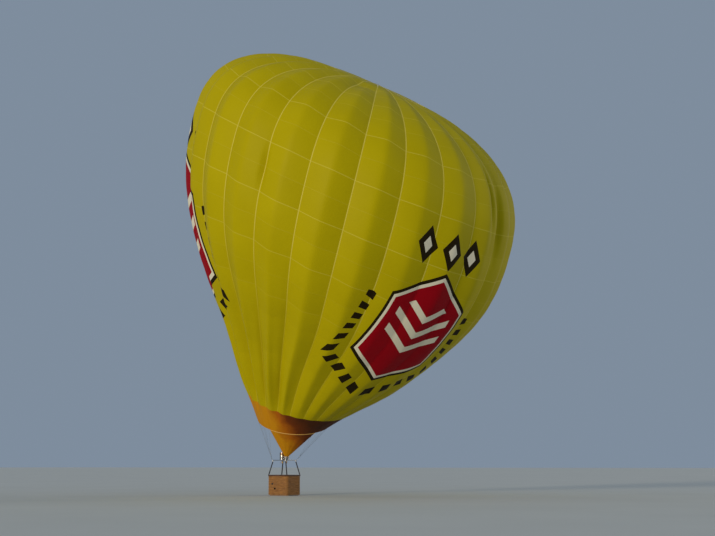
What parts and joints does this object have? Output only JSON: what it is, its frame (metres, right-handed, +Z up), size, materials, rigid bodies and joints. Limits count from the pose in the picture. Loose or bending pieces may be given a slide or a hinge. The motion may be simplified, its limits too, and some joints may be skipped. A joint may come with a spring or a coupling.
{
  "type": "hot air balloon",
  "caption": "Full-size sport hot air balloon, inflated and leaning downwind, with gored envelope, parachute vent, scoop, gimballed double burner and wicker basket.",
  "frame": {"origin": "middle of the hot air inside the envelope, from where the balloon is held up", "axes": "+Z up, +X level in the direction in which the envelope leans, +Y level to the left of that"},
  "size_m": [17.6529, 19.0014, 24.8215],
  "materials": {
    "yellow_cloth": "coated ripstop nylon, matt outside",
    "orange_cloth": "heat-proof aramid cloth",
    "webbing": "woven polyester tape",
    "steel": "stainless, brushed",
    "alloy": "anodised",
    "cylinder_metal": "bare, in padded covers",
    "padding": "padded woven nylon",
    "leather": "suede-like hide",
    "wicker": "woven rattan and willow",
    "wood": "varnished plywood and ash"
  },
  "bodies": {
    "envelope_and_basket": {"gore_01": "yellow_cloth", "gore_02": "yellow_cloth", "gore_03": "yellow_cloth", "gore_04": "yellow_cloth", "gore_05": "yellow_cloth", "gore_06": "yellow_cloth", "gore_07": "yellow_cloth", "gore_08": "yellow_cloth", "gore_09": "yellow_cloth", "gore_10": "yellow_cloth", "gore_11": "yellow_cloth", "gore_12": "yellow_cloth", "gore_13": "yellow_cloth", "gore_14": "yellow_cloth", "gore_15": "yellow_cloth", "gore_16": "yellow_cloth", "gore_17": "yellow_cloth", "gore_18": "yellow_cloth", "gore_19": "yellow_cloth", "gore_20": "yellow_cloth", "gore_21": "yellow_cloth", "gore_22": "yellow_cloth", "gore_23": "yellow_cloth", "gore_24": "yellow_cloth", "mouth_band": "orange_cloth", "scoop": "orange_cloth", "crown_ring": "webbing", "karabiner_1": "alloy", "karabiner_2": "alloy", "karabiner_3": "alloy", "karabiner_4": "alloy", "flying_wires_1": "steel", "flying_wires_2": "steel", "flying_wires_3": "steel", "flying_wires_4": "steel", "burner_frame": "steel", "upright_1": "padding", "upright_2": "padding", "upright_3": "padding", "upright_4": "padding", "basket_rim": "leather", "basket_wall": "wicker", "basket_floor": "wood", "skid_1": "wood", "skid_2": "wood", "skid_3": "wood", "fuel_cylinder_1": "cylinder_metal", "fuel_cylinder_2": "cylinder_metal", "fuel_cylinder_3": "cylinder_metal", "fuel_cylinder_4": "cylinder_metal"},
    "vent": {"parachute_valve": "yellow_cloth"},
    "gimbal": {"gimbal_ring": "steel"},
    "burner": {"burner_block": "alloy", "burner_can_1": "steel", "burner_can_2": "steel", "burner_coil_1": "steel", "burner_coil_2": "steel"}
  },
  "joints": [
    {"name": "vent_slide", "type": "slide", "parent": "envelope_and_basket", "child": "vent", "axis": [-0.471, 0, -0.8821], "range_m": [0, 1.2]},
    {"name": "gimbal_outer", "type": "hinge", "parent": "envelope_and_basket", "child": "gimbal", "pos_m": [-4, 0, -13.25], "axis": [0.9914, -0.1305, 0], "range_deg": [-15, 15]},
    {"name": "gimbal_inner", "type": "hinge", "parent": "gimbal", "child": "burner", "pos_m": [-4, 0, -13.25], "axis": [0.1305, 0.9914, 0], "range_deg": [-15, 15]}
  ]
}
